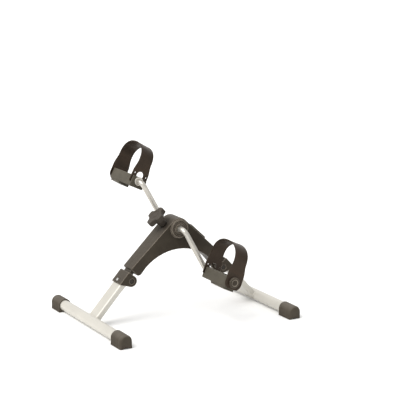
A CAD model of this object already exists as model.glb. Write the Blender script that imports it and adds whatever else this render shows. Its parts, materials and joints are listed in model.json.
"""Finishes and fine pieces for a folding pedal exerciser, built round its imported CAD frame."""

import json
import math

import bmesh
import bpy
from bpy.props import FloatProperty, FloatVectorProperty, IntProperty, PointerProperty
from mathutils import Matrix, Vector


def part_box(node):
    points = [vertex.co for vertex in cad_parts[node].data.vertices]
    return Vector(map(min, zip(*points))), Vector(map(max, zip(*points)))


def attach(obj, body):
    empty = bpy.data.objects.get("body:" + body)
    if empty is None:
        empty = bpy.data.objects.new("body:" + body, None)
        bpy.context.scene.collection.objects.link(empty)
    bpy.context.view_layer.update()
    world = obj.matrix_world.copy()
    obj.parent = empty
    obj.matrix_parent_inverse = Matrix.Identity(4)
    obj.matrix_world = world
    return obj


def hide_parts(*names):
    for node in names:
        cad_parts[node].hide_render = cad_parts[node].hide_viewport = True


bl_info = {
    "name": "Pedal exerciser finishes",
    "version": (1, 0, 0),
    "blender": (4, 5, 0),
    "location": "View3D > Sidebar > Pedal exerciser",
    "description": "Builds the fine pieces and finishes of a folding pedal exerciser",
    "category": "Add Mesh",
}

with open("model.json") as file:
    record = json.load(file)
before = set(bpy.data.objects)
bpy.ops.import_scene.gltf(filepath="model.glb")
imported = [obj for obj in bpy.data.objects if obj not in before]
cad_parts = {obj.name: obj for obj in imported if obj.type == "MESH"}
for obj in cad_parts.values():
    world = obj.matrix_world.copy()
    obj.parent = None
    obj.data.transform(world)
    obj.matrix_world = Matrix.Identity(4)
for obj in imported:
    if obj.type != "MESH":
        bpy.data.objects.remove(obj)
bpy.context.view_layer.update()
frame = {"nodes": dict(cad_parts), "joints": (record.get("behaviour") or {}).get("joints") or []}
JOINTS = {joint["name"]: joint for joint in frame["joints"]}
ENDS = ("front", "rear")
HANDS = (("left", 1), ("right", -1))
ACROSS = Vector((0.0, 1.0, 0.0))
HOUSING_SCREWS = ("middle", "front", "rear")

# The stage: metres, degrees, and a lens in millimetres

FLOOR_RADIUS = 40.0
FLOOR_DROP = 0.0002
FLOOR_PALE = (0.90, 0.90, 0.90)
FLOOR_PALER = (0.92, 0.92, 0.915)
SKY_STRENGTH = 0.80
# name, place, strength, angle, colour
LIGHTS = (
    ("key_light", (0.80, 0.16, 0.95), 2.7, 48.0, (1.0, 0.985, 0.96)),
    ("fill_light", (-0.5, -0.6, 0.8), 0.35, 60.0, (1.0, 1.0, 1.0)),
)
SENSOR_WIDTH = 36.0
CAMERA_LENS = 129.1
CAMERA_AZIMUTH = 150.15
CAMERA_ELEVATION = 12.7
CAMERA_DISTANCE = 3.5175
CAMERA_TARGET = (-0.07285, 0.0, 0.2775)


def middle(node):
    low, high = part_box(node)
    return (low + high) / 2


def size(node):
    low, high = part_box(node)
    return high - low


def joint_place(name):
    return Vector(JOINTS[name]["pos_m"])


# Node wiring


class Wiring:
    """Adds nodes to a material and joins them by socket name."""

    def __init__(self, name):
        self.material = bpy.data.materials.new(name)
        self.material.use_nodes = True
        self.tree = self.material.node_tree
        self.shader = self.tree.nodes["Principled BSDF"]
        self.place = self.add("ShaderNodeTexCoord").outputs["Object"]

    def add(self, kind, **settings):
        node = self.tree.nodes.new(kind)
        for key, value in settings.items():
            setattr(node, key, value)
        return node

    def join(self, source, target):
        self.tree.links.new(source, target)

    def put(self, name, value):
        """Sets a number or colour of the shader."""
        self.shader.inputs[name].default_value = value

    def paint(self, colour):
        self.join(colour, self.shader.inputs["Base Color"])

    def relief(self, normal):
        self.join(normal, self.shader.inputs["Normal"])

    def gloss(self, pattern, low, high, first, last):
        """Roughness from first to last as a pattern goes from low to high."""
        self.join(self.spread(pattern, low, high, first, last), self.shader.inputs["Roughness"])

    def stretched(self, scale):
        """Object coordinates stretched along each axis."""
        node = self.add("ShaderNodeMapping")
        node.inputs["Scale"].default_value = scale
        self.join(self.place, node.inputs["Vector"])
        return node.outputs["Vector"]

    def noise(self, scale, detail=3.0, roughness=0.55, place=None):
        node = self.add("ShaderNodeTexNoise")
        node.inputs["Scale"].default_value = scale
        node.inputs["Detail"].default_value = detail
        node.inputs["Roughness"].default_value = roughness
        self.join(place or self.place, node.inputs["Vector"])
        return node.outputs["Fac"]

    def cells(self, scale):
        node = self.add("ShaderNodeTexVoronoi", feature="SMOOTH_F1")
        node.inputs["Scale"].default_value = scale
        node.inputs["Smoothness"].default_value = 0.35
        self.join(self.place, node.inputs["Vector"])
        return node.outputs["Distance"]

    def spread(self, value, low, high, to_low=0.0, to_high=1.0):
        node = self.add("ShaderNodeMapRange", clamp=True)
        for name, number in zip(
            ("From Min", "From Max", "To Min", "To Max"), (low, high, to_low, to_high), strict=True
        ):
            node.inputs[name].default_value = number
        self.join(value, node.inputs["Value"])
        return node.outputs["Result"]

    def math(self, operation, first, second):
        node = self.add("ShaderNodeMath", operation=operation, use_clamp=True)
        for socket, value in zip(node.inputs, (first, second), strict=False):
            if isinstance(value, float):
                socket.default_value = value
            else:
                self.join(value, socket)
        return node.outputs["Value"]

    def mix(self, factor, first, second):
        node = self.add("ShaderNodeMix", data_type="RGBA")
        if isinstance(factor, float):
            node.inputs["Factor"].default_value = factor
        else:
            self.join(factor, node.inputs["Factor"])
        sockets = [s for s in node.inputs if s.type == "RGBA"]
        for socket, value in zip(sockets, (first, second), strict=True):
            if isinstance(value, (tuple, list)):
                socket.default_value = (*value[:3], 1.0)
            else:
                self.join(value, socket)
        return [s for s in node.outputs if s.type == "RGBA"][0]

    def worn_edges(self, radius):
        """A mask that rises where a surface turns a corner within a radius."""
        bevel = self.add("ShaderNodeBevel", samples=4)
        bevel.inputs["Radius"].default_value = radius
        geometry = self.add("ShaderNodeNewGeometry")
        dot = self.add("ShaderNodeVectorMath", operation="DOT_PRODUCT")
        self.join(bevel.outputs["Normal"], dot.inputs[0])
        self.join(geometry.outputs["Normal"], dot.inputs[1])
        return self.spread(dot.outputs["Value"], 0.996, 0.90)

    def settled(self, low, high, amount):
        """A mask on faces that look upward, broken up by soft clouds."""
        geometry = self.add("ShaderNodeNewGeometry")
        parts = self.add("ShaderNodeSeparateXYZ")
        self.join(geometry.outputs["Normal"], parts.inputs[0])
        clouds = self.spread(self.noise(22.0, 4.0), 0.25, 0.7, amount * 0.6, amount)
        return self.math("MULTIPLY", self.spread(parts.outputs["Z"], low, high), clouds)

    def from_centre(self):
        """Distance from the middle plane, across the object."""
        parts = self.add("ShaderNodeSeparateXYZ")
        self.join(self.place, parts.inputs[0])
        return self.math("ABSOLUTE", parts.outputs["Y"], 0.0)

    def bump(self, height, strength, distance, below=None):
        node = self.add("ShaderNodeBump")
        node.inputs["Strength"].default_value = strength
        node.inputs["Distance"].default_value = distance
        self.join(height, node.inputs["Height"])
        if below is not None:
            self.join(below, node.inputs["Normal"])
        return node.outputs["Normal"]


def dusted(colour):
    """A colour greyed by half."""
    grey = sum(colour[:3]) / 3
    return tuple(channel * 0.6 + grey * 0.4 for channel in colour[:3])


def shade(colour, factor):
    return tuple(min(channel * factor, 1.0) for channel in colour[:3])


def moulded(name, colour, roughness, grain, depth, edge=1.6, dust=0.12, wear=0.0011, seam=0.0):
    """Moulded plastic or rubber: grain, flow marks, dust on upper faces and paler worn edges."""
    w = Wiring(name)
    clouds = w.noise(26.0, 4.0)
    flow = w.noise(9.0, 2.0, place=w.stretched((1.0, 0.45, 1.6)))
    body = w.mix(w.spread(clouds, 0.35, 0.68), shade(colour, 0.84), shade(colour, 1.12))
    streaks = w.math("MULTIPLY", w.spread(flow, 0.5, 0.75), dust)
    body = w.mix(streaks, body, shade(colour, 2.2))
    body = w.mix(w.settled(0.25, 0.95, dust * 2.2), body, shade(dusted(colour), 2.9))
    patches = w.spread(w.noise(85.0), 0.30, 0.62, 0.55, 1.0)
    rubbed = w.math("MULTIPLY", w.worn_edges(wear), patches)
    if seam:
        rubbed = w.math("MULTIPLY", rubbed, w.spread(w.from_centre(), seam, seam * 1.5))
    w.paint(w.mix(rubbed, body, shade(dusted(colour), edge)))
    scuffs = w.noise(150.0, 5.0, 0.7, w.stretched((1.0, 0.2, 1.0)))
    w.gloss(scuffs, 0.3, 0.7, roughness - 0.07, roughness + 0.07)
    coarse = w.bump(clouds, 0.12, 0.0006)
    w.relief(w.bump(w.cells(grain), 0.45, depth, coarse))
    w.put("Specular IOR Level", 0.22)
    w.put("Specular Tint", (1.0, 0.93, 0.84, 1.0))
    return w.material


def strap_finish(name, colour, roughness):
    """Soft vinyl: a pebbled face, long bending marks across the strap and a low sheen."""
    w = Wiring(name)
    clouds = w.noise(34.0, 3.0)
    pulls = w.noise(60.0, 4.0, 0.6, w.stretched((0.18, 1.0, 1.0)))
    body = w.mix(w.spread(clouds, 0.35, 0.7), shade(colour, 0.8), shade(colour, 1.25))
    warm = (colour[0] * 1.9, colour[1] * 1.45, colour[2] * 1.2)
    body = w.mix(w.math("MULTIPLY", w.spread(pulls, 0.52, 0.72), 0.35), body, warm)
    patches = w.spread(clouds, 0.3, 0.7, 0.3, 0.8)
    rubbed = w.math("MULTIPLY", w.worn_edges(0.0009), patches)
    w.paint(w.mix(rubbed, body, shade(colour, 1.7)))
    w.gloss(pulls, 0.3, 0.7, roughness + 0.08, roughness - 0.06)
    stretch = w.bump(pulls, 0.25, 0.0003)
    w.relief(w.bump(w.cells(1500.0), 0.35, 0.00012, stretch))
    w.put("Sheen Weight", 0.04)
    w.put("Sheen Roughness", 0.5)
    w.put("Sheen Tint", (0.75, 0.56, 0.42, 1.0))
    w.put("Specular IOR Level", 0.30)
    w.put("Specular Tint", (1.0, 0.82, 0.66, 1.0))
    return w.material


def powder_coat(name, colour, roughness):
    """Silver powder coat: fine flakes, an orange-peel surface and faint handling marks."""
    w = Wiring(name)
    clouds = w.noise(14.0, 3.0)
    flakes = w.noise(2600.0, 1.0, 0.8)
    marks = w.noise(48.0, 6.0, 0.72, w.stretched((1.0, 0.3, 1.0)))
    body = w.mix(w.spread(clouds, 0.35, 0.65), shade(colour, 0.95), shade(colour, 1.03))
    glints = w.math("MULTIPLY", w.spread(flakes, 0.55, 0.75), 0.5)
    body = w.mix(glints, body, shade(colour, 1.22))
    handled = w.math("MULTIPLY", w.spread(marks, 0.66, 0.8), 0.30)
    w.paint(w.mix(handled, body, shade(colour, 0.72)))
    w.gloss(marks, 0.35, 0.75, roughness - 0.05, roughness + 0.12)
    peel = w.bump(w.noise(420.0, 2.0), 0.18, 0.00025)
    w.relief(w.bump(flakes, 0.10, 0.00005, peel))
    w.put("Metallic", 0.2)
    w.put("Coat Weight", 0.25)
    w.put("Coat Roughness", 0.3)
    return w.material


def bare_metal(name, colour, roughness, metallic=1.0):
    """Plated or bare steel: drawn lines along the piece, soft smudges and duller patches."""
    w = Wiring(name)
    drawn = w.noise(900.0, 4.0, 0.7, w.stretched((1.0, 0.06, 1.0)))
    smudges = w.noise(30.0, 4.0)
    body = w.mix(w.spread(smudges, 0.35, 0.7), shade(colour, 0.9), shade(colour, 1.05))
    lines = w.math("MULTIPLY", w.spread(drawn, 0.55, 0.8), 0.25)
    w.paint(w.mix(lines, body, shade(colour, 0.7)))
    w.gloss(smudges, 0.4, 0.7, roughness - 0.05, roughness + 0.10)
    w.relief(w.bump(drawn, 0.22, 0.00006))
    w.put("Metallic", metallic)
    return w.material


def display_finish(name, colour, roughness):
    """A clear-faced liquid crystal display with its dark border and faint cells."""
    w = Wiring(name)
    cells = w.add("ShaderNodeTexBrick")
    cells.inputs["Scale"].default_value = 230.0
    cells.inputs["Color1"].default_value = (*shade(colour, 0.9), 1.0)
    cells.inputs["Color2"].default_value = (*shade(colour, 1.1), 1.0)
    cells.inputs["Mortar"].default_value = (*shade(colour, 0.6), 1.0)
    cells.inputs["Mortar Size"].default_value = 0.01
    w.join(w.place, cells.inputs["Vector"])
    border = w.worn_edges(0.0022)
    w.paint(w.mix(border, cells.outputs["Color"], shade(colour, 0.15)))
    w.gloss(w.noise(70.0), 0.3, 0.7, roughness - 0.04, roughness + 0.06)
    w.relief(w.bump(w.noise(40.0), 0.05, 0.0002))
    w.put("Coat Weight", 0.8)
    w.put("Coat Roughness", 0.04)
    return w.material


BLACKED_STEEL = (0.034, 0.029, 0.023)
NATURAL_NYLON = (0.66, 0.64, 0.58)
DISPLAY_GREY = (0.30, 0.34, 0.29)
FINISHES = {}


def make_finishes():
    """One material for each of the record's slots, from the colours in the panel."""
    c = bpy.context.scene.exerciser_finishes
    FINISHES.update(
        housing_plastic=moulded(
            "housing_plastic_grained", c.housing_colour, roughness=0.46, grain=1150.0,
            depth=0.00022, edge=11.0, dust=0.40, wear=0.0021, seam=0.0035,
        ),
        pedal_plastic=moulded(
            "pedal_plastic_grained", c.pedal_colour, roughness=0.56, grain=950.0,
            depth=0.00025, edge=2.6, dust=0.22,
        ),
        strap_rubber=strap_finish("strap_vinyl", c.strap_colour, roughness=0.42),
        cap_rubber=moulded(
            "cap_rubber_matt", c.cap_colour, roughness=0.74, grain=700.0,
            depth=0.00030, edge=1.5, dust=0.30,
        ),
        knob_plastic=moulded(
            "knob_plastic_grained", c.knob_colour, roughness=0.55, grain=1000.0,
            depth=0.00025, edge=2.2, dust=0.25,
        ),
        frame_silver=powder_coat("frame_silver_coat", c.frame_colour, roughness=0.36),
        crank_chrome=bare_metal("crank_plated", c.crank_colour, roughness=0.36, metallic=0.7),
        plain_steel=bare_metal("steel_plated", c.steel_colour, roughness=0.30),
        dark_steel=bare_metal("steel_blacked", BLACKED_STEEL, roughness=0.5, metallic=0.6),
        nylon=moulded(
            "nylon_natural", NATURAL_NYLON, roughness=0.48, grain=1300.0,
            depth=0.00012, edge=1.05, dust=0.10,
        ),
        lens=display_finish("counter_display", DISPLAY_GREY, roughness=0.16),
    )


# Mesh helpers

WELD_REACH = 2e-6
SHARP_EDGE = 34.0
FLAT_JOINT = 0.4
OFF_GRID = 0.00001


def smooth_by_angle(degrees):
    """A node group that shades smooth, but for edges sharper than an angle."""
    name = f"Smooth under {degrees:.0f} degrees"
    group = bpy.data.node_groups.get(name)
    if group:
        return group
    group = bpy.data.node_groups.new(name, "GeometryNodeTree")
    group.interface.new_socket("Geometry", in_out="INPUT", socket_type="NodeSocketGeometry")
    group.interface.new_socket("Geometry", in_out="OUTPUT", socket_type="NodeSocketGeometry")
    source = group.nodes.new("NodeGroupInput")
    target = group.nodes.new("NodeGroupOutput")
    plain = group.nodes.new("GeometryNodeRemoveAttribute")
    plain.inputs["Name"].default_value = "custom_normal"
    soft = group.nodes.new("GeometryNodeSetShadeSmooth")
    angle = group.nodes.new("GeometryNodeInputMeshEdgeAngle")
    sharp = group.nodes.new("FunctionNodeCompare")
    sharp.inputs["B"].default_value = math.radians(degrees)
    crisp = group.nodes.new("GeometryNodeSetShadeSmooth")
    crisp.domain = "EDGE"
    crisp.inputs["Shade Smooth"].default_value = False
    group.links.new(source.outputs[0], plain.inputs[0])
    group.links.new(plain.outputs[0], soft.inputs[0])
    group.links.new(soft.outputs[0], crisp.inputs[0])
    group.links.new(angle.outputs["Unsigned Angle"], sharp.inputs["A"])
    group.links.new(sharp.outputs["Result"], crisp.inputs["Selection"])
    group.links.new(crisp.outputs[0], target.inputs[0])
    return group


def smoothed(piece, degrees, label="Smooth edges"):
    step = piece.modifiers.new(label, "NODES")
    step.node_group = smooth_by_angle(degrees)


def rounded(piece, width, degrees):
    edge = piece.modifiers.new("Edge rounding", "BEVEL")
    edge.width = width
    edge.segments = 2
    edge.limit_method = "ANGLE"
    edge.angle_limit = math.radians(degrees)


def evened(piece):
    even = piece.modifiers.new("Even normals", "WEIGHTED_NORMAL")
    even.keep_sharp = True


def refine(piece, edge_width=0.0):
    """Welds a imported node's faces, joins its flat ones, rounds its edges and smooths the rest."""
    weld = piece.modifiers.new("Weld", "WELD")
    weld.merge_threshold = WELD_REACH
    smoothed(piece, SHARP_EDGE, "Smooth faces")
    flat = piece.modifiers.new("Join flat faces", "DECIMATE")
    flat.decimate_type = "DISSOLVE"
    flat.angle_limit = math.radians(FLAT_JOINT)
    if edge_width:
        rounded(piece, edge_width, SHARP_EDGE)
        smoothed(piece, SHARP_EDGE + 12.0)
    evened(piece)


def finish_node(node, slot):
    piece = frame["nodes"][node]
    if not piece.material_slots:
        piece.data.materials.append(FINISHES[slot])
    for holder in piece.material_slots:
        holder.material = FINISHES[slot]


def new_piece(name, mesh, body, slot, replaced=(), matrix=None):
    """One named piece from a bmesh that moves with a body and takes its finish from a slot."""
    data = bpy.data.meshes.new(name)
    bmesh.ops.recalc_face_normals(mesh, faces=mesh.faces)
    mesh.to_mesh(data)
    mesh.free()
    data.shade_smooth()
    piece = bpy.data.objects.new(name, data)
    bpy.context.scene.collection.objects.link(piece)
    if matrix is not None:
        piece.matrix_world = matrix
    data.materials.append(FINISHES[slot])
    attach(piece, body)
    if replaced:
        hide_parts(*replaced)
    return piece


def loft(rings, looped=False):
    """A closed mesh through rings of equal length, with end faces or joined into a loop."""
    mesh = bmesh.new()
    rows = [[mesh.verts.new(point) for point in ring] for ring in rings]
    pairs = list(zip(rows, rows[1:], strict=False))
    if looped:
        pairs.append((rows[-1], rows[0]))
    for low, high in pairs:
        count = len(low)
        for i in range(count):
            j = (i + 1) % count
            mesh.faces.new((low[i], low[j], high[j], high[i]))
    if not looped:
        mesh.faces.new(rows[0][::-1])
        mesh.faces.new(rows[-1])
    return mesh


def turned(profile, sides, place=None):
    """A solid turned about Y from (radius, height) points, closed on the axis or into a ring."""
    mesh = bmesh.new()
    place = place or Vector()
    rows = []
    for radius, height in profile:
        count = 1 if radius == 0.0 else sides
        row = []
        for i in range(count):
            turn = 2 * math.pi * i / sides
            point = Vector((radius * math.cos(turn), height, radius * math.sin(turn)))
            row.append(mesh.verts.new(place + point))
        rows.append(row)
    pairs = list(zip(rows, rows[1:], strict=False))
    if len(rows[0]) > 1:
        pairs.append((rows[-1], rows[0]))
    for low, high in pairs:
        for i in range(sides):
            j = (i + 1) % sides
            corners = [low[i % len(low)], low[j % len(low)]]
            corners += [high[j % len(high)], high[i % len(high)]]
            mesh.faces.new(list(dict.fromkeys(corners)))
    return mesh


def cut_out(piece, tools):
    """Cuts closed bmeshes, given in the piece's own frame, out of a piece for good."""
    for mesh in tools:
        data = bpy.data.meshes.new("cutter")
        bmesh.ops.recalc_face_normals(mesh, faces=mesh.faces)
        mesh.to_mesh(data)
        mesh.free()
        tool = bpy.data.objects.new("cutter", data)
        bpy.context.scene.collection.objects.link(tool)
        tool.matrix_world = piece.matrix_world
        step = piece.modifiers.new("Cut", "BOOLEAN")
        step.operation = "DIFFERENCE"
        step.solver = "EXACT"
        step.object = tool
        bpy.context.view_layer.update()
        shown = piece.evaluated_get(bpy.context.evaluated_depsgraph_get())
        cut = bpy.data.meshes.new_from_object(shown)
        piece.modifiers.remove(step)
        cut.name = piece.data.name
        piece.data = cut
        bpy.data.objects.remove(tool)


# Settings


class ExerciserFinishes(bpy.types.PropertyGroup):
    """Colours of the plastics, rubbers and metals."""

    housing_colour: FloatVectorProperty(
        name="Housing", description="Colour of the housing, collars and counter case",
        default=(0.0310, 0.0245, 0.0170), size=3, subtype="COLOR", min=0.0, max=1.0,
    )
    pedal_colour: FloatVectorProperty(
        name="Pedals", description="Colour of the foot blocks and their end caps",
        default=(0.0620, 0.0550, 0.0410), size=3, subtype="COLOR", min=0.0, max=1.0,
    )
    strap_colour: FloatVectorProperty(
        name="Straps", description="Colour of the foot straps",
        default=(0.0190, 0.0125, 0.0085), size=3, subtype="COLOR", min=0.0, max=1.0,
    )
    cap_colour: FloatVectorProperty(
        name="Foot caps", description="Colour of the rubber caps on the floor bars",
        default=(0.0540, 0.0450, 0.0340), size=3, subtype="COLOR", min=0.0, max=1.0,
    )
    knob_colour: FloatVectorProperty(
        name="Knob", description="Colour of the tension knob",
        default=(0.0420, 0.0350, 0.0285), size=3, subtype="COLOR", min=0.0, max=1.0,
    )
    frame_colour: FloatVectorProperty(
        name="Frame", description="Colour of the silver legs and floor bars",
        default=(0.51, 0.49, 0.44), size=3, subtype="COLOR", min=0.0, max=1.0,
    )
    crank_colour: FloatVectorProperty(
        name="Crank", description="Colour of the plated crank rod",
        default=(0.56, 0.535, 0.485), size=3, subtype="COLOR", min=0.0, max=1.0,
    )
    steel_colour: FloatVectorProperty(
        name="Steel", description="Colour of the small steel parts",
        default=(0.66, 0.65, 0.63), size=3, subtype="COLOR", min=0.0, max=1.0,
    )


class ExerciserSizes(bpy.types.PropertyGroup):
    """Sizes of the details that the finished pieces add."""

    edge_rounding: FloatProperty(
        name="Edge rounding", description="Radius on the moulded parts' edges",
        default=0.00035, min=0.0, max=0.002, subtype="DISTANCE", unit="LENGTH",
    )
    strap_rim: FloatProperty(
        name="Strap rim", description="Width of the thicker rim along each strap edge",
        default=0.0026, min=0.0005, max=0.006, subtype="DISTANCE", unit="LENGTH",
    )
    strap_thickness: FloatProperty(
        name="Strap thickness", description="Thickness of the strap at its rim",
        default=0.0026, min=0.001, max=0.005, subtype="DISTANCE", unit="LENGTH",
    )
    cap_ribs: IntProperty(
        name="Cap ribs", description="Grip ribs across the underside of each foot cap",
        default=7, min=0, max=16,
    )
    weld_radius: FloatProperty(
        name="Weld bead", description="Radius of the weld between each leg and its floor bar",
        default=0.0016, min=0.0005, max=0.004, subtype="DISTANCE", unit="LENGTH",
    )
    knob_lobes: IntProperty(
        name="Knob lobes", description="Lobes round the tension knob", default=4, min=3, max=9,
    )


# Shapes of the fine pieces, in metres

STRAP_STRAIGHT = 0.0480
STRAP_TOP = 0.0880
STRAP_LEAN = 0.0070
STRAP_WIDTH = 0.0380
STRAP_END_WIDTH = 0.0470
STRAP_NARROWING = 0.0180
STRAP_INNER_END = 0.0080
STRAP_OUTER_END = 0.0165
STRAP_CROWN = 0.86
STRAP_INNER_TIP = 0.004
STRAP_OUTER_TIP = 0.015
STRAP_TIP_FLAT = 0.0006
STRAP_EDGE = 0.0008
STRAP_WEB = 0.74
NECK_HOLE = 0.0091
HAND_HOLE = 0.0095
HAND_HOLE_HEIGHT = 0.0140
EYE = 0.0017
EYE_SPREAD = 0.0170
EYE_HEIGHT = 0.0160
SPIGOT_HOLE = 0.0099
PEDAL_PITCH = {"left": math.radians(26.0), "right": math.radians(31.0)}
ROD_RADIUS = 0.0065
SPINDLE_RADIUS = 0.00475
ROD_BEND = 0.0160
ARM_INNER = 0.0520
ARM_OUTER = 0.0580
CLEARANCE = 0.0003
LEG_CORNER = 0.0045
BAR_WALL = 0.0012
BEAD_STEP = 0.0012
BEAD_SIDES = 10
CAP_TREAD = 0.0070
CAP_HOLLOW = 0.0018
CAP_RIB_PITCH = 0.0040
CAP_RIB_LOW = 0.00035
CAP_RIB_HIGH = 0.0001
CAP_END_REACH = 0.0062
CAP_END_DEPTH = 0.0048
KNOB_DISC = 0.0140
KNOB_VALLEY = 0.0038
KNOB_LOBE_SHARPNESS = 2.0
KNOB_LOBE_FULLNESS = 0.3
KNOB_UNDER_EDGE = 0.0018
KNOB_TOP_EDGE = 0.0026
KNOB_SIDES = 200


def strap_width(height, to_end, end_radius):
    """Wide at both ends, narrow over the foot, with rounded tips."""
    share = (height - STRAP_NARROWING) / (STRAP_STRAIGHT - STRAP_NARROWING)
    share = min(max(share, 0.0), 1.0)
    share = share * share * (3 - 2 * share)
    width = STRAP_END_WIDTH + (STRAP_WIDTH - STRAP_END_WIDTH) * share
    if to_end < end_radius:
        width -= 2 * (end_radius - math.sqrt(end_radius**2 - (end_radius - to_end) ** 2))
    return width


def strap_route(inner, outer):
    """(y, z, width) along the strap's middle, from its inner end over the foot to its outer end."""
    centre, reach = (inner + outer) / 2, (outer - inner) / 2
    rise = STRAP_TOP - STRAP_STRAIGHT
    climb = STRAP_STRAIGHT + STRAP_INNER_END
    shares = [0.0, 0.004, 0.012, 0.025, 0.045, 0.07] + [0.1 + 0.9 * i / 20 for i in range(21)]
    route = [(inner, -STRAP_INNER_END + s * climb, True) for s in shares]
    for i in range(1, 60):
        angle = math.pi * i / 60
        y = centre - reach * math.copysign(abs(math.cos(angle)) ** STRAP_CROWN, math.cos(angle))
        route.append((y, STRAP_STRAIGHT + rise * math.sin(angle) ** STRAP_CROWN, i < 30))
    drop = STRAP_STRAIGHT + STRAP_OUTER_END
    shares = [i / 22 * 0.82 for i in range(23)]
    shares += [0.86, 0.9, 0.93, 0.955, 0.975, 0.988, 0.996, 1.0]
    route += [(outer, STRAP_STRAIGHT - s * drop, False) for s in shares]
    stations = []
    for y, z, first in route:
        to_end = z + (STRAP_INNER_END if first else STRAP_OUTER_END)
        tip = STRAP_INNER_TIP if first else STRAP_OUTER_TIP
        stations.append((y, z, strap_width(z, to_end + STRAP_TIP_FLAT, tip)))
    return stations


def lip(centre_y, outward, x, z, inner, outer, height):
    """A low moulded ring round a hole, standing on a face of the strap."""
    start, end = centre_y, centre_y + outward * height
    profile = [(inner, start), (outer, start), (outer - 0.0003, end), (inner + 0.0002, end)]
    return turned(profile, 32, place=Vector((x, 0.0, z)))


def make_strap(hand, side):
    """A rimmed strap over the foot, with holes for the neck, hand, eyes and spigot."""
    c = bpy.context.scene.exerciser_sizes
    node = hand + "_pedal_strap"
    axis = joint_place(hand + "_pedal_spin")
    low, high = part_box(node)
    half = c.strap_thickness / 2
    reach = sorted((side * (low.y - axis.y), side * (high.y - axis.y)))
    stations = strap_route(reach[0] + half, reach[1] - half)
    rim, edge = c.strap_rim, STRAP_EDGE
    across = [(0.0, 0.30), (edge * 0.3, 0.78), (edge, 1.0), (rim, 1.0), (rim + edge, 0.76)]
    rings = []
    for i, (y, z, width) in enumerate(stations):
        before, after = stations[max(i - 1, 0)], stations[min(i + 1, len(stations) - 1)]
        along = Vector((after[0] - before[0], after[1] - before[1])).normalized()
        normal = Vector((along.y, -along.x))
        lean = STRAP_LEAN * max(z, 0.0) / STRAP_TOP
        face = [(width / 2 - inward, share) for inward, share in across]
        web = width / 2 - rim - edge
        face += [(web - web * k / 3, STRAP_WEB) for k in (1, 2)] + [(0.0, STRAP_WEB)]
        face += [(-x, share) for x, share in reversed(face[:-1])]
        section = face + [(x, -share) for x, share in reversed(face)]
        ring = []
        for x, share in section:
            y_at, z_at = y + normal.x * share * half, z + normal.y * share * half
            ring.append((x + lean, side * y_at, z_at))
        rings.append(ring)
    matrix = Matrix.Translation(axis) @ Matrix.Rotation(-PEDAL_PITCH[hand], 4, "Y")
    body = hand + "_pedal"
    strap = new_piece(hand + "_foot_strap", loft(rings), body, "strap_rubber", [node], matrix)
    inner_y, outer_y = side * stations[0][0], side * stations[-1][0]
    tools = []
    for y, x, z, radius in (
        (inner_y, 0.0, 0.0, NECK_HOLE),
        (inner_y, 0.0010, HAND_HOLE_HEIGHT, HAND_HOLE),
        (inner_y, EYE_SPREAD, EYE_HEIGHT, EYE),
        (inner_y, -EYE_SPREAD, EYE_HEIGHT, EYE),
        (outer_y, 0.0, 0.0, SPIGOT_HOLE),
    ):
        profile = [(0.0, y - 0.004), (radius, y - 0.004), (radius, y + 0.004), (0.0, y + 0.004)]
        tools.append(turned(profile, 48, place=Vector((x + OFF_GRID, 0.0, z))))
    cut_out(strap, tools)
    rounded(strap, 0.00025, 42.0)
    smoothed(strap, 42.0)
    evened(strap)
    for way, label in ((1, "toe"), (-1, "heel")):
        for outward in (1, -1):
            mesh = lip(
                inner_y + outward * half * 0.6, outward, way * EYE_SPREAD, EYE_HEIGHT,
                EYE + 0.0001, EYE + 0.0013, 0.0009,
            )
            name = f"{hand}_strap_{label}_eye_{'outer' if outward * side > 0 else 'inner'}"
            new_piece(name, mesh, body, "strap_rubber", (), matrix)


def bent_route(corners, radius, steps):
    """Points along straight runs through the corners, with each inner corner bent to a radius."""
    route = [Vector(corners[0])]
    for before, corner, after in zip(corners, corners[1:], corners[2:], strict=False):
        here = Vector(corner)
        back, ahead = (Vector(before) - here).normalized(), (Vector(after) - here).normalized()
        half = back.angle(ahead) / 2
        centre = here + (back + ahead).normalized() * radius / math.sin(half)
        first = here + back * radius / math.tan(half) - centre
        last = here + ahead * radius / math.tan(half) - centre
        swing = first.angle(last)
        for i in range(steps + 1):
            share = swing * i / steps
            spoke = first * math.sin(swing - share) + last * math.sin(share)
            route.append(centre + spoke / math.sin(swing))
    route.append(Vector(corners[-1]))
    return route


def swept(stations, sides):
    """A round bar through (point, radius) stations, with flat ends."""
    points = [Vector(point) for point, _ in stations]
    side = Vector((1.0, 0.0, 0.0))
    rings = []
    for i, (_, radius) in enumerate(stations):
        ahead = points[min(i + 1, len(points) - 1)] - points[i]
        behind = points[i] - points[max(i - 1, 0)]
        along = (ahead.normalized() + behind.normalized()).normalized()
        side = (side - along * side.dot(along)).normalized()
        up = along.cross(side)
        turns = [2 * math.pi * k / sides for k in range(sides)]
        rings.append([points[i] + radius * (math.cos(t) * side + math.sin(t) * up) for t in turns])
    return loft(rings)


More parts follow.
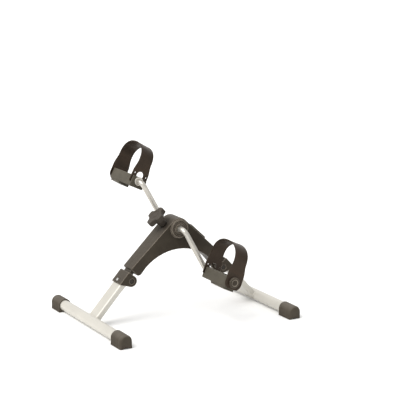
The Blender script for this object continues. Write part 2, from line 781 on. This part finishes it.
def make_crank_rod():
    """One bent rod from pedal to pedal, necked down to a chamfered spindle at each end."""
    axle = joint_place("crank_spin")
    throw = joint_place("right_pedal_spin") - axle
    throw.y = 0.0
    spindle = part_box("left_spindle_collar")[0].y - CLEARANCE
    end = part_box("crank_rod")[1].y
    corners = [throw - spindle * ACROSS, throw - ARM_OUTER * ACROSS, -ARM_INNER * ACROSS]
    corners += [ARM_INNER * ACROSS, -throw + ARM_OUTER * ACROSS, -throw + spindle * ACROSS]
    tip = [(end, SPINDLE_RADIUS - 0.0009), (end - 0.0009, SPINDLE_RADIUS)]
    tip += [(spindle + 0.00002, SPINDLE_RADIUS)]
    neck = [(spindle + 0.00001, ROD_RADIUS - 0.0007), (spindle - 0.0007, ROD_RADIUS)]
    stations = [(throw - y * ACROSS, radius) for y, radius in tip + neck]
    stations += [(point, ROD_RADIUS) for point in bent_route(corners, ROD_BEND, 14)[1:-1]]
    stations += [(-throw + y * ACROSS, radius) for y, radius in reversed(tip + neck)]
    stations = [(axle + point, radius) for point, radius in stations]
    mesh = swept(stations, 40)
    smoothed(new_piece("crank_bent_rod", mesh, "crank", "crank_chrome", ["crank_rod"]), 38.0)


def leg_axes(end):
    """The leg frame: its pivot, then X down the leg, Y across and Z out of its front face."""
    out = -Vector(JOINTS[end + "_button_press"]["axis"])
    across = ACROSS if end == "front" else -ACROSS
    return joint_place(end + "_leg_fold"), across.cross(out), across, out


def span(node, place, axis):
    """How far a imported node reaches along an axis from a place."""
    reach = [(vertex.co - place).dot(axis) for vertex in frame["nodes"][node].data.vertices]
    return min(reach), max(reach)


def make_floor_tube(end):
    """The round tube on the floor, open at both ends."""
    node = end + "_floor_bar"
    radius, half = size(node).z / 2, size(node).y / 2
    soft = 0.0003
    profile = [(radius - BAR_WALL, -half), (radius - soft, -half), (radius, -half + soft)]
    profile += [(radius, -half * k / 6) for k in (5, 4, 3, 2, 1, 0, -1, -2, -3, -4, -5)]
    profile += [(radius, half - soft), (radius - soft, half), (radius - BAR_WALL, half)]
    mesh = turned(profile, 64, place=middle(node))
    bar = new_piece(end + "_floor_tube", mesh, end + "_leg", "frame_silver", [node])
    smoothed(bar, 38.0)


def leg_outline(half_width, back, front):
    """(y, z) points round the leg's rounded section, evenly spaced."""
    corners = [(1, 1, front, 0), (-1, 1, front, 90), (-1, -1, back, 180), (1, -1, back, 270)]
    outline = []
    for way, lift, z, start in corners:
        for i in range(9):
            turn = math.radians(start + 90 * i / 8)
            y_at = way * half_width - way * LEG_CORNER + LEG_CORNER * math.cos(turn)
            outline.append((y_at, z - lift * LEG_CORNER + LEG_CORNER * math.sin(turn)))
    filled = []
    for here, after in zip(outline, outline[1:] + outline[:1], strict=True):
        steps = max(1, round(math.dist(here, after) / BEAD_STEP))
        for k in range(steps):
            filled.append(tuple(a + (b - a) * k / steps for a, b in zip(here, after, strict=True)))
    return filled


def make_weld_bead(end):
    """The weld where the leg's saddle meets the floor tube, a little uneven along its run."""
    bead_radius = bpy.context.scene.exerciser_sizes.weld_radius
    node = end + "_floor_bar"
    centre, radius = middle(node), size(node).z / 2
    pivot, down, across, out = leg_axes(end)
    back, front = span(end + "_leg_tube", pivot, out)
    bar_down, bar_out = (centre - pivot).dot(down), (centre - pivot).dot(out)
    rings = []
    for i, (y, z) in enumerate(leg_outline(size(end + "_leg_tube").y / 2, back, front)):
        rise = math.sqrt(max(radius**2 - (z - bar_out) ** 2, 0.0))
        here = pivot + down * (bar_down - rise) + across * y + out * z
        wide = bead_radius * (1 + 0.10 * math.sin(i * 1.9) + 0.06 * math.sin(i * 0.7))
        outward = (across * y * 0.4 + out * (z - (front + back) / 2)).normalized()
        radial = (here - centre - across * (here - centre).dot(across)).normalized()
        row = []
        for k in range(BEAD_SIDES):
            turn = 2 * math.pi * k / BEAD_SIDES
            row.append(here + wide * (math.cos(turn) * outward + math.sin(turn) * radial))
        rings.append(row)
    bead = new_piece(end + "_weld_bead", loft(rings, looped=True), end + "_leg", "frame_silver")
    soften = bead.modifiers.new("Soften", "SUBSURF")
    soften.levels = soften.render_levels = 1


def cap_section(radius, drop, flare):
    """Round over the bar, straight down the sides, and hollow between two treads on the floor."""
    edge = radius + flare
    inside = edge - CAP_TREAD
    right = [(radius, 0.0), (radius, -drop * 0.5), (radius + flare * 0.4, -drop * 0.8)]
    right += [(edge, -drop + 0.0014), (edge - 0.0003, -drop + 0.0004), (edge - 0.0010, -drop)]
    right += [(edge - CAP_TREAD * 0.5, -drop), (inside + 0.0004, -drop)]
    right += [(inside, -drop + 0.0003), (inside * 0.75, -drop + CAP_HOLLOW * 0.7)]
    right += [(inside * 0.35, -drop + CAP_HOLLOW * 0.97)]
    left = [(-x, z) for x, z in reversed(right)]
    top = [math.pi * i / 36 for i in range(1, 36)]
    over = [(-radius * math.cos(t), radius * math.sin(t)) for t in top]
    return right + [(0.0, -drop + CAP_HOLLOW)] + left + over


def cap_stations(near, far, ribs):
    """(y, shrink) along a cap: a rolled lip, then ribs, then a well-rounded end."""
    low, high = CAP_RIB_LOW, CAP_RIB_HIGH
    stations = [(near, 0.0006), (near + 0.0002, 0.0002), (near + 0.0006, 0.0)]
    stations += [(near + 0.0022, 0.0), (near + 0.0028, low), (near + 0.0050, low)]
    for i in range(ribs):
        at = near + 0.0062 + CAP_RIB_PITCH * i
        stations += [(at, low), (at + 0.0005, high), (at + 0.0020, high), (at + 0.0025, low)]
    stations += [(far - 0.0080, low), (far - 0.0065, high)]
    for i in range(9):
        turn = math.pi / 2 * i / 8
        y = far - CAP_END_REACH * (1 - math.sin(turn))
        stations.append((y, high + CAP_END_DEPTH * (1 - math.cos(turn))))
    return stations


def make_foot_cap(end, hand, side):
    """A ribbed rubber cap with a rolled lip, a well-rounded far end and a bore for the bar."""
    node = f"{end}_{hand}_foot_cap"
    low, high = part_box(node)
    bar = middle(end + "_floor_bar")
    radius, drop = high.z - bar.z, bar.z - low.z
    flare = (high.x - low.x) / 2 - radius
    near, far = sorted((side * low.y, side * high.y))
    section = cap_section(radius, drop, flare)
    rings = []
    for y, shrink in cap_stations(near, far, bpy.context.scene.exerciser_sizes.cap_ribs):
        reach = (radius - shrink) / radius
        rounding = max(shrink - 0.0006, 0.0)
        lift = 1 - rounding / drop * (0.25 + 0.75 * min(1.0, rounding / 0.003))
        row = []
        for x, z in section:
            row.append((bar.x + x * reach, side * y, bar.z + z * (reach if z > 0 else lift)))
        rings.append(row)
    name = node.replace("foot_cap", "rubber_cap")
    body = new_piece(name, loft(rings), end + "_leg", "cap_rubber", [node])
    bore = size(end + "_floor_bar").z / 2 + CLEARANCE
    start, stop = sorted((side * (near - 0.01), side * (far - 0.0040)))
    profile = [(0.0, start), (bore, start), (bore, stop), (0.0, stop)]
    cut_out(body, [turned(profile, 64, place=Vector((bar.x + OFF_GRID, 0.0, bar.z)))])
    smoothed(body, 44.0)


def knob_levels(foot, top, full):
    """(height, size, lobed) up the knob: a flaring stem, round edges, a dish and its centre."""
    under = top - KNOB_DISC
    dish = full - 0.0130
    levels = [(foot, 0.0088, 0.0), (foot + 0.0004, 0.0092, 0.0), (foot + 0.006, 0.0096, 0.0)]
    levels += [(under - 0.008, 0.0103, 0.0), (under - 0.004, 0.0112, 0.0)]
    levels += [(under - 0.0018, 0.0124, 0.0), (under - 0.0006, 0.0146, 0.0)]
    for i in range(5):
        turn = math.pi / 2 * i / 4
        rise, inward = 1 - math.cos(turn), 1 - math.sin(turn)
        levels.append((under + KNOB_UNDER_EDGE * rise, KNOB_UNDER_EDGE * inward, 1.0))
    for i in range(7):
        turn = math.pi / 2 * i / 6
        fall, inward = 1 - math.sin(turn), 1 - math.cos(turn)
        levels.append((top - KNOB_TOP_EDGE * fall, KNOB_TOP_EDGE * inward, 1.0))
    levels += [(top, 0.0040, 1.0), (top, dish + 0.0012, 0.0), (top - 0.0004, dish + 0.0003, 0.0)]
    levels += [(top - 0.0014, dish - 0.0006, 0.0), (top - 0.0016, dish - 0.0016, 0.0)]
    levels += [(top - 0.0016, 0.0062, 0.0), (top - 0.0012, 0.0052, 0.0)]
    levels += [(top - 0.0004, 0.0046, 0.0), (top - 0.0003, 0.0038, 0.0)]
    return levels + [(top - 0.0003, 0.0012, 0.0)]


def make_knob():
    """The lobed hand knob on its flaring stem, bored for the screw."""
    lobes = bpy.context.scene.exerciser_sizes.knob_lobes
    out = -Vector(JOINTS["knob_turn"]["axis"])
    place = joint_place("knob_turn")
    down = ACROSS.cross(out)
    matrix = Matrix((
        (down.x, 0.0, out.x, place.x), (down.y, 1.0, out.y, place.y),
        (down.z, 0.0, out.z, place.z), (0.0, 0.0, 0.0, 1.0),
    ))
    foot, top = span("tension_knob", place, out)
    reaches = span("tension_knob", place, ACROSS) + span("tension_knob", place, down)
    full = max(abs(reach) for reach in reaches)

    def lobed(angle, inward):
        wave = math.tanh(KNOB_LOBE_SHARPNESS * math.cos(lobes * angle) + KNOB_LOBE_FULLNESS)
        wave /= math.tanh(KNOB_LOBE_SHARPNESS + KNOB_LOBE_FULLNESS)
        return full - KNOB_VALLEY + KNOB_VALLEY * wave - inward

    rings = []
    for height, amount, is_lobed in knob_levels(foot, top, full):
        row = []
        for i in range(KNOB_SIDES):
            angle = 2 * math.pi * i / KNOB_SIDES
            radius = lobed(angle, amount) if is_lobed else amount
            row.append((-radius * math.cos(angle), -radius * math.sin(angle), height))
        rings.append(row)
    name, replaced = "tension_hand_knob", ["tension_knob"]
    knob = new_piece(name, loft(rings), "knob", "knob_plastic", replaced, matrix)
    start, stop = foot - 0.01, top - KNOB_DISC + 0.008
    tool = turned([(0.0, start), (0.0033, start), (0.0033, stop), (0.0, stop)], 24)
    bmesh.ops.rotate(tool, verts=tool.verts, matrix=Matrix.Rotation(math.pi / 2, 3, "X"))
    cut_out(knob, [tool])
    smoothed(knob, 40.0)


def turned_piece(name, node, body, slot, profile, sides=64):
    """A round piece whose (radius, y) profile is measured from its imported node's centre."""
    mesh = turned(profile, sides, place=middle(node))
    smoothed(new_piece(name, mesh, body, slot, [node]), 36.0)


def make_hinge_pin(end):
    """A shouldered rivet with low domed heads."""
    node = end + "_hinge_pin"
    half, head, shank, depth = size(node).y / 2, size(node).x / 2, 0.0040, 0.0018
    profile = [(0.0, half), (head * 0.45, half - 0.0001), (head * 0.78, half - 0.0005)]
    profile += [(head * 0.95, half - 0.0010), (head, half - 0.0013)]
    profile += [(head, half - depth), (shank, half - depth)]
    profile += [(radius, -y) for radius, y in reversed(profile)]
    turned_piece(end + "_hinge_rivet", node, end + "_leg", "dark_steel", profile, 48)


def make_end_cap(hand, side):
    """The stepped cap on the pedal's outer end, over the spindle's push nut."""
    node = hand + "_pedal_end_cap"
    rim, half = size(node).x / 2, size(node).y / 2
    seat = half - 0.0060
    profile = [(0.0, half - 0.0016), (0.0078, half - 0.0016), (0.0078, -half), (0.0096, -half)]
    profile += [(0.0096, seat), (rim - 0.0003, seat), (rim, seat + 0.0004), (rim, half - 0.0018)]
    profile += [(rim - 0.0006, half - 0.0008), (rim - 0.0018, half - 0.0002)]
    profile += [(rim - 0.0040, half - 0.0002), (rim - 0.0047, half - 0.0004)]
    profile += [(rim - 0.0050, half - 0.0010), (rim - 0.0058, half - 0.0011)]
    profile += [(rim - 0.0064, half - 0.0007), (0.0030, half - 0.0004), (0.0, half - 0.0004)]
    profile = [(radius, side * y) for radius, y in profile]
    turned_piece(hand + "_end_boss", node, hand + "_pedal", "housing_plastic", profile)


def make_boss_cover(hand, side):
    """The stepped ring that closes the housing's boss round the crank rod."""
    node = hand + "_boss_cover"
    rim, half = size(node).x / 2, size(node).y / 2
    hole = ROD_RADIUS + 0.0016
    face = half - 0.0004
    profile = [(hole, -half), (rim, -half), (rim, face - 0.0010), (rim - 0.0004, face - 0.0006)]
    profile += [(rim - 0.0028, face - 0.0006), (rim - 0.0036, face - 0.0009)]
    profile += [(rim - 0.0042, face - 0.0014), (rim - 0.0076, face - 0.0014)]
    profile += [(rim - 0.0082, face - 0.0010), (rim - 0.0087, face + 0.0002)]
    profile += [(rim - 0.0092, face + 0.0004), (hole + 0.0010, face + 0.0004)]
    profile += [(hole, face - 0.0004)]
    profile = [(radius, side * y) for radius, y in profile]
    turned_piece(hand + "_boss_ring", node, "housing", "housing_plastic", profile, 96)


def make_spindle_collar(hand):
    """A plated thrust collar between the rod's shoulder and the pedal."""
    node = hand + "_spindle_collar"
    rim, half = size(node).x / 2, size(node).y / 2
    bore, soft, fine = SPINDLE_RADIUS + CLEARANCE, 0.0005, 0.0002
    profile = [(bore, -half + fine), (bore + fine, -half), (rim - soft, -half)]
    profile += [(rim, -half + soft), (rim, half - soft), (rim - soft, half)]
    profile += [(bore + fine, half), (bore, half - fine)]
    turned_piece(hand + "_thrust_collar", node, "crank", "crank_chrome", profile)


def make_housing_screw(which):
    """A countersunk pan screw whose head has a cross recess."""
    node = "housing_screw_" + which
    low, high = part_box(node)
    head, shank = size(node).x / 2, 0.0019
    face = low.y
    profile = [(0.0, face), (head * 0.55, face + 0.0001), (head * 0.86, face + 0.0004)]
    profile += [(head, face + 0.0009), (head, face + 0.0018), (shank, face + 0.0018)]
    profile += [(shank, high.y), (0.0, high.y)]
    centre = middle(node)
    place = Matrix.Translation((centre.x, 0.0, centre.z))
    name = "housing_cross_screw_" + which
    screw = new_piece(name, turned(profile, 40), "housing", "dark_steel", [node], place)
    tools = []
    for wide, deep in ((head * 0.58, 0.0004), (0.0004, head * 0.58)):
        tool = bmesh.new()
        bmesh.ops.create_cube(tool, size=2.0)
        bmesh.ops.scale(tool, verts=tool.verts, vec=(wide, 0.0012, deep))
        bmesh.ops.translate(tool, verts=tool.verts, vec=(0.0, face, 0.0))
        tools.append(tool)
    cut_out(screw, tools)
    smoothed(screw, 30.0)


# Stage


def lay_floor(scene):
    """A wide, plain, matt floor."""
    mesh = bmesh.new()
    bmesh.ops.create_circle(mesh, cap_ends=True, segments=96, radius=FLOOR_RADIUS)
    data = bpy.data.meshes.new("studio_floor")
    mesh.to_mesh(data)
    mesh.free()
    floor = bpy.data.objects.new("studio_floor", data)
    floor.location.z = -FLOOR_DROP
    scene.collection.objects.link(floor)
    w = Wiring("studio_floor_pale")
    w.paint(w.mix(w.spread(w.noise(3.0), 0.3, 0.7), FLOOR_PALE, FLOOR_PALER))
    w.put("Roughness", 0.9)
    w.put("Specular IOR Level", 0.1)
    data.materials.append(w.material)


def light_scene(scene):
    """A white sky and two broad soft lights."""
    world = bpy.data.worlds.new("studio_white")
    world.use_nodes = True
    backdrop = world.node_tree.nodes["Background"]
    backdrop.inputs["Color"].default_value = (1.0, 1.0, 1.0, 1.0)
    backdrop.inputs["Strength"].default_value = SKY_STRENGTH
    scene.world = world
    scene.view_settings.view_transform = "Standard"
    for name, place, strength, angle, colour in LIGHTS:
        lamp = bpy.data.lights.new(name, "SUN")
        lamp.energy = strength
        lamp.angle = math.radians(angle)
        lamp.color = colour
        light = bpy.data.objects.new(name, lamp)
        light.rotation_mode = "QUATERNION"
        light.rotation_quaternion = Vector(place).to_track_quat("Z", "Y")
        scene.collection.objects.link(light)


def place_camera(scene):
    """A long lens at the front left, a little above the floor."""
    eye = bpy.data.cameras.new("studio_camera")
    eye.sensor_width = SENSOR_WIDTH
    eye.lens = CAMERA_LENS
    eye.clip_start, eye.clip_end = 0.05, 100.0
    camera = bpy.data.objects.new("studio_camera", eye)
    turn, rise = math.radians(CAMERA_AZIMUTH), math.radians(CAMERA_ELEVATION)
    level = math.cos(rise)
    back = Vector((math.sin(turn) * level, -math.cos(turn) * level, math.sin(rise)))
    camera.location = Vector(CAMERA_TARGET) + back * CAMERA_DISTANCE
    camera.rotation_mode = "QUATERNION"
    camera.rotation_quaternion = back.to_track_quat("Z", "Y")
    scene.collection.objects.link(camera)
    scene.camera = camera


# Operators


class EXERCISER_OT_frame_finish(bpy.types.Operator):
    """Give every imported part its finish, and the moulded and metal ones their rounded edges"""

    bl_idname = "exerciser.frame_finish"
    bl_label = "Frame finishes"

    SHARP = (
        "housing_left_shell", "housing_right_shell", "front_collar", "rear_collar",
        "front_hinge_tongue", "rear_hinge_tongue", "front_leg_tube", "rear_leg_tube",
        "front_leg_bracket", "rear_leg_bracket", "left_pedal", "right_pedal", "counter_case",
    )
    SOFT = (
        "front_snap_button", "rear_snap_button", "knob_washer", "counter_lens",
        "counter_reset_button", "left_push_nut", "right_push_nut", "brake_drum",
        "left_pedal_sleeve", "right_pedal_sleeve", "left_axle_bush", "right_axle_bush",
    )

    def execute(self, context):
        make_finishes()
        rounding = context.scene.exerciser_sizes.edge_rounding
        for node, piece in frame["nodes"].items():
            slot = piece.data.materials[0].name
            if slot not in FINISHES:
                raise RuntimeError(f"{node} names a finish that is not in the record: {slot}")
            finish_node(node, slot)
            if node in self.SHARP:
                refine(piece, rounding)
            elif node in self.SOFT:
                refine(piece)
        return {"FINISHED"}


class EXERCISER_OT_straps(bpy.types.Operator):
    """Build both rimmed foot straps with their holes and eyes"""

    bl_idname = "exerciser.straps"
    bl_label = "Foot straps"

    def execute(self, context):
        for hand, side in HANDS:
            make_strap(hand, side)
        return {"FINISHED"}


class EXERCISER_OT_crank(bpy.types.Operator):
    """Build the bent crank rod and its thrust collars"""

    bl_idname = "exerciser.crank"
    bl_label = "Crank rod"

    def execute(self, context):
        make_crank_rod()
        for hand, _ in HANDS:
            make_spindle_collar(hand)
        return {"FINISHED"}


class EXERCISER_OT_floor_bars(bpy.types.Operator):
    """Build the floor tubes with their weld beads and rubber caps"""

    bl_idname = "exerciser.floor_bars"
    bl_label = "Floor bars and caps"

    def execute(self, context):
        for end in ENDS:
            make_floor_tube(end)
            make_weld_bead(end)
            for hand, _ in HANDS:
                node = f"{end}_{hand}_foot_cap"
                make_foot_cap(end, hand, 1 if middle(node).y > 0 else -1)
        return {"FINISHED"}


class EXERCISER_OT_knob(bpy.types.Operator):
    """Build the lobed tension knob"""

    bl_idname = "exerciser.knob"
    bl_label = "Tension knob"

    def execute(self, context):
        make_knob()
        return {"FINISHED"}


class EXERCISER_OT_fittings(bpy.types.Operator):
    """Build the turned fittings: boss rings, end bosses, hinge rivets and cross-head screws"""

    bl_idname = "exerciser.fittings"
    bl_label = "Turned fittings"

    def execute(self, context):
        for hand, side in HANDS:
            make_boss_cover(hand, side)
            make_end_cap(hand, side)
        for end in ENDS:
            make_hinge_pin(end)
        for which in HOUSING_SCREWS:
            make_housing_screw(which)
        return {"FINISHED"}


class EXERCISER_OT_stage(bpy.types.Operator):
    """Set the pale floor, the soft studio light and the camera"""

    bl_idname = "exerciser.stage"
    bl_label = "Stage"

    def execute(self, context):
        scene = context.scene
        lay_floor(scene)
        light_scene(scene)
        place_camera(scene)
        return {"FINISHED"}


class EXERCISER_PT_panel(bpy.types.Panel):
    """The pedal exerciser's colours, sizes and pieces"""

    bl_idname = "EXERCISER_PT_panel"
    bl_label = "Pedal exerciser"
    bl_space_type = "VIEW_3D"
    bl_region_type = "UI"
    bl_category = "Pedal exerciser"

    def draw(self, context):
        for group in (context.scene.exerciser_finishes, context.scene.exerciser_sizes):
            box = self.layout.box()
            for name in type(group).__annotations__:
                box.prop(group, name)
        for piece in PIECES:
            self.layout.operator(piece.bl_idname)


PIECES = (
    EXERCISER_OT_frame_finish, EXERCISER_OT_straps, EXERCISER_OT_crank, EXERCISER_OT_floor_bars,
    EXERCISER_OT_knob, EXERCISER_OT_fittings, EXERCISER_OT_stage,
)
CLASSES = (ExerciserFinishes, ExerciserSizes, *PIECES, EXERCISER_PT_panel)


def register():
    for made in CLASSES:
        bpy.utils.register_class(made)
    bpy.types.Scene.exerciser_finishes = PointerProperty(type=ExerciserFinishes)
    bpy.types.Scene.exerciser_sizes = PointerProperty(type=ExerciserSizes)


def unregister():
    del bpy.types.Scene.exerciser_sizes
    del bpy.types.Scene.exerciser_finishes
    for made in reversed(CLASSES):
        bpy.utils.unregister_class(made)


def main():
    register()
    for piece in PIECES:
        area, action = piece.bl_idname.split(".")
        getattr(getattr(bpy.ops, area), action)()


if __name__ == "__main__":
    main()
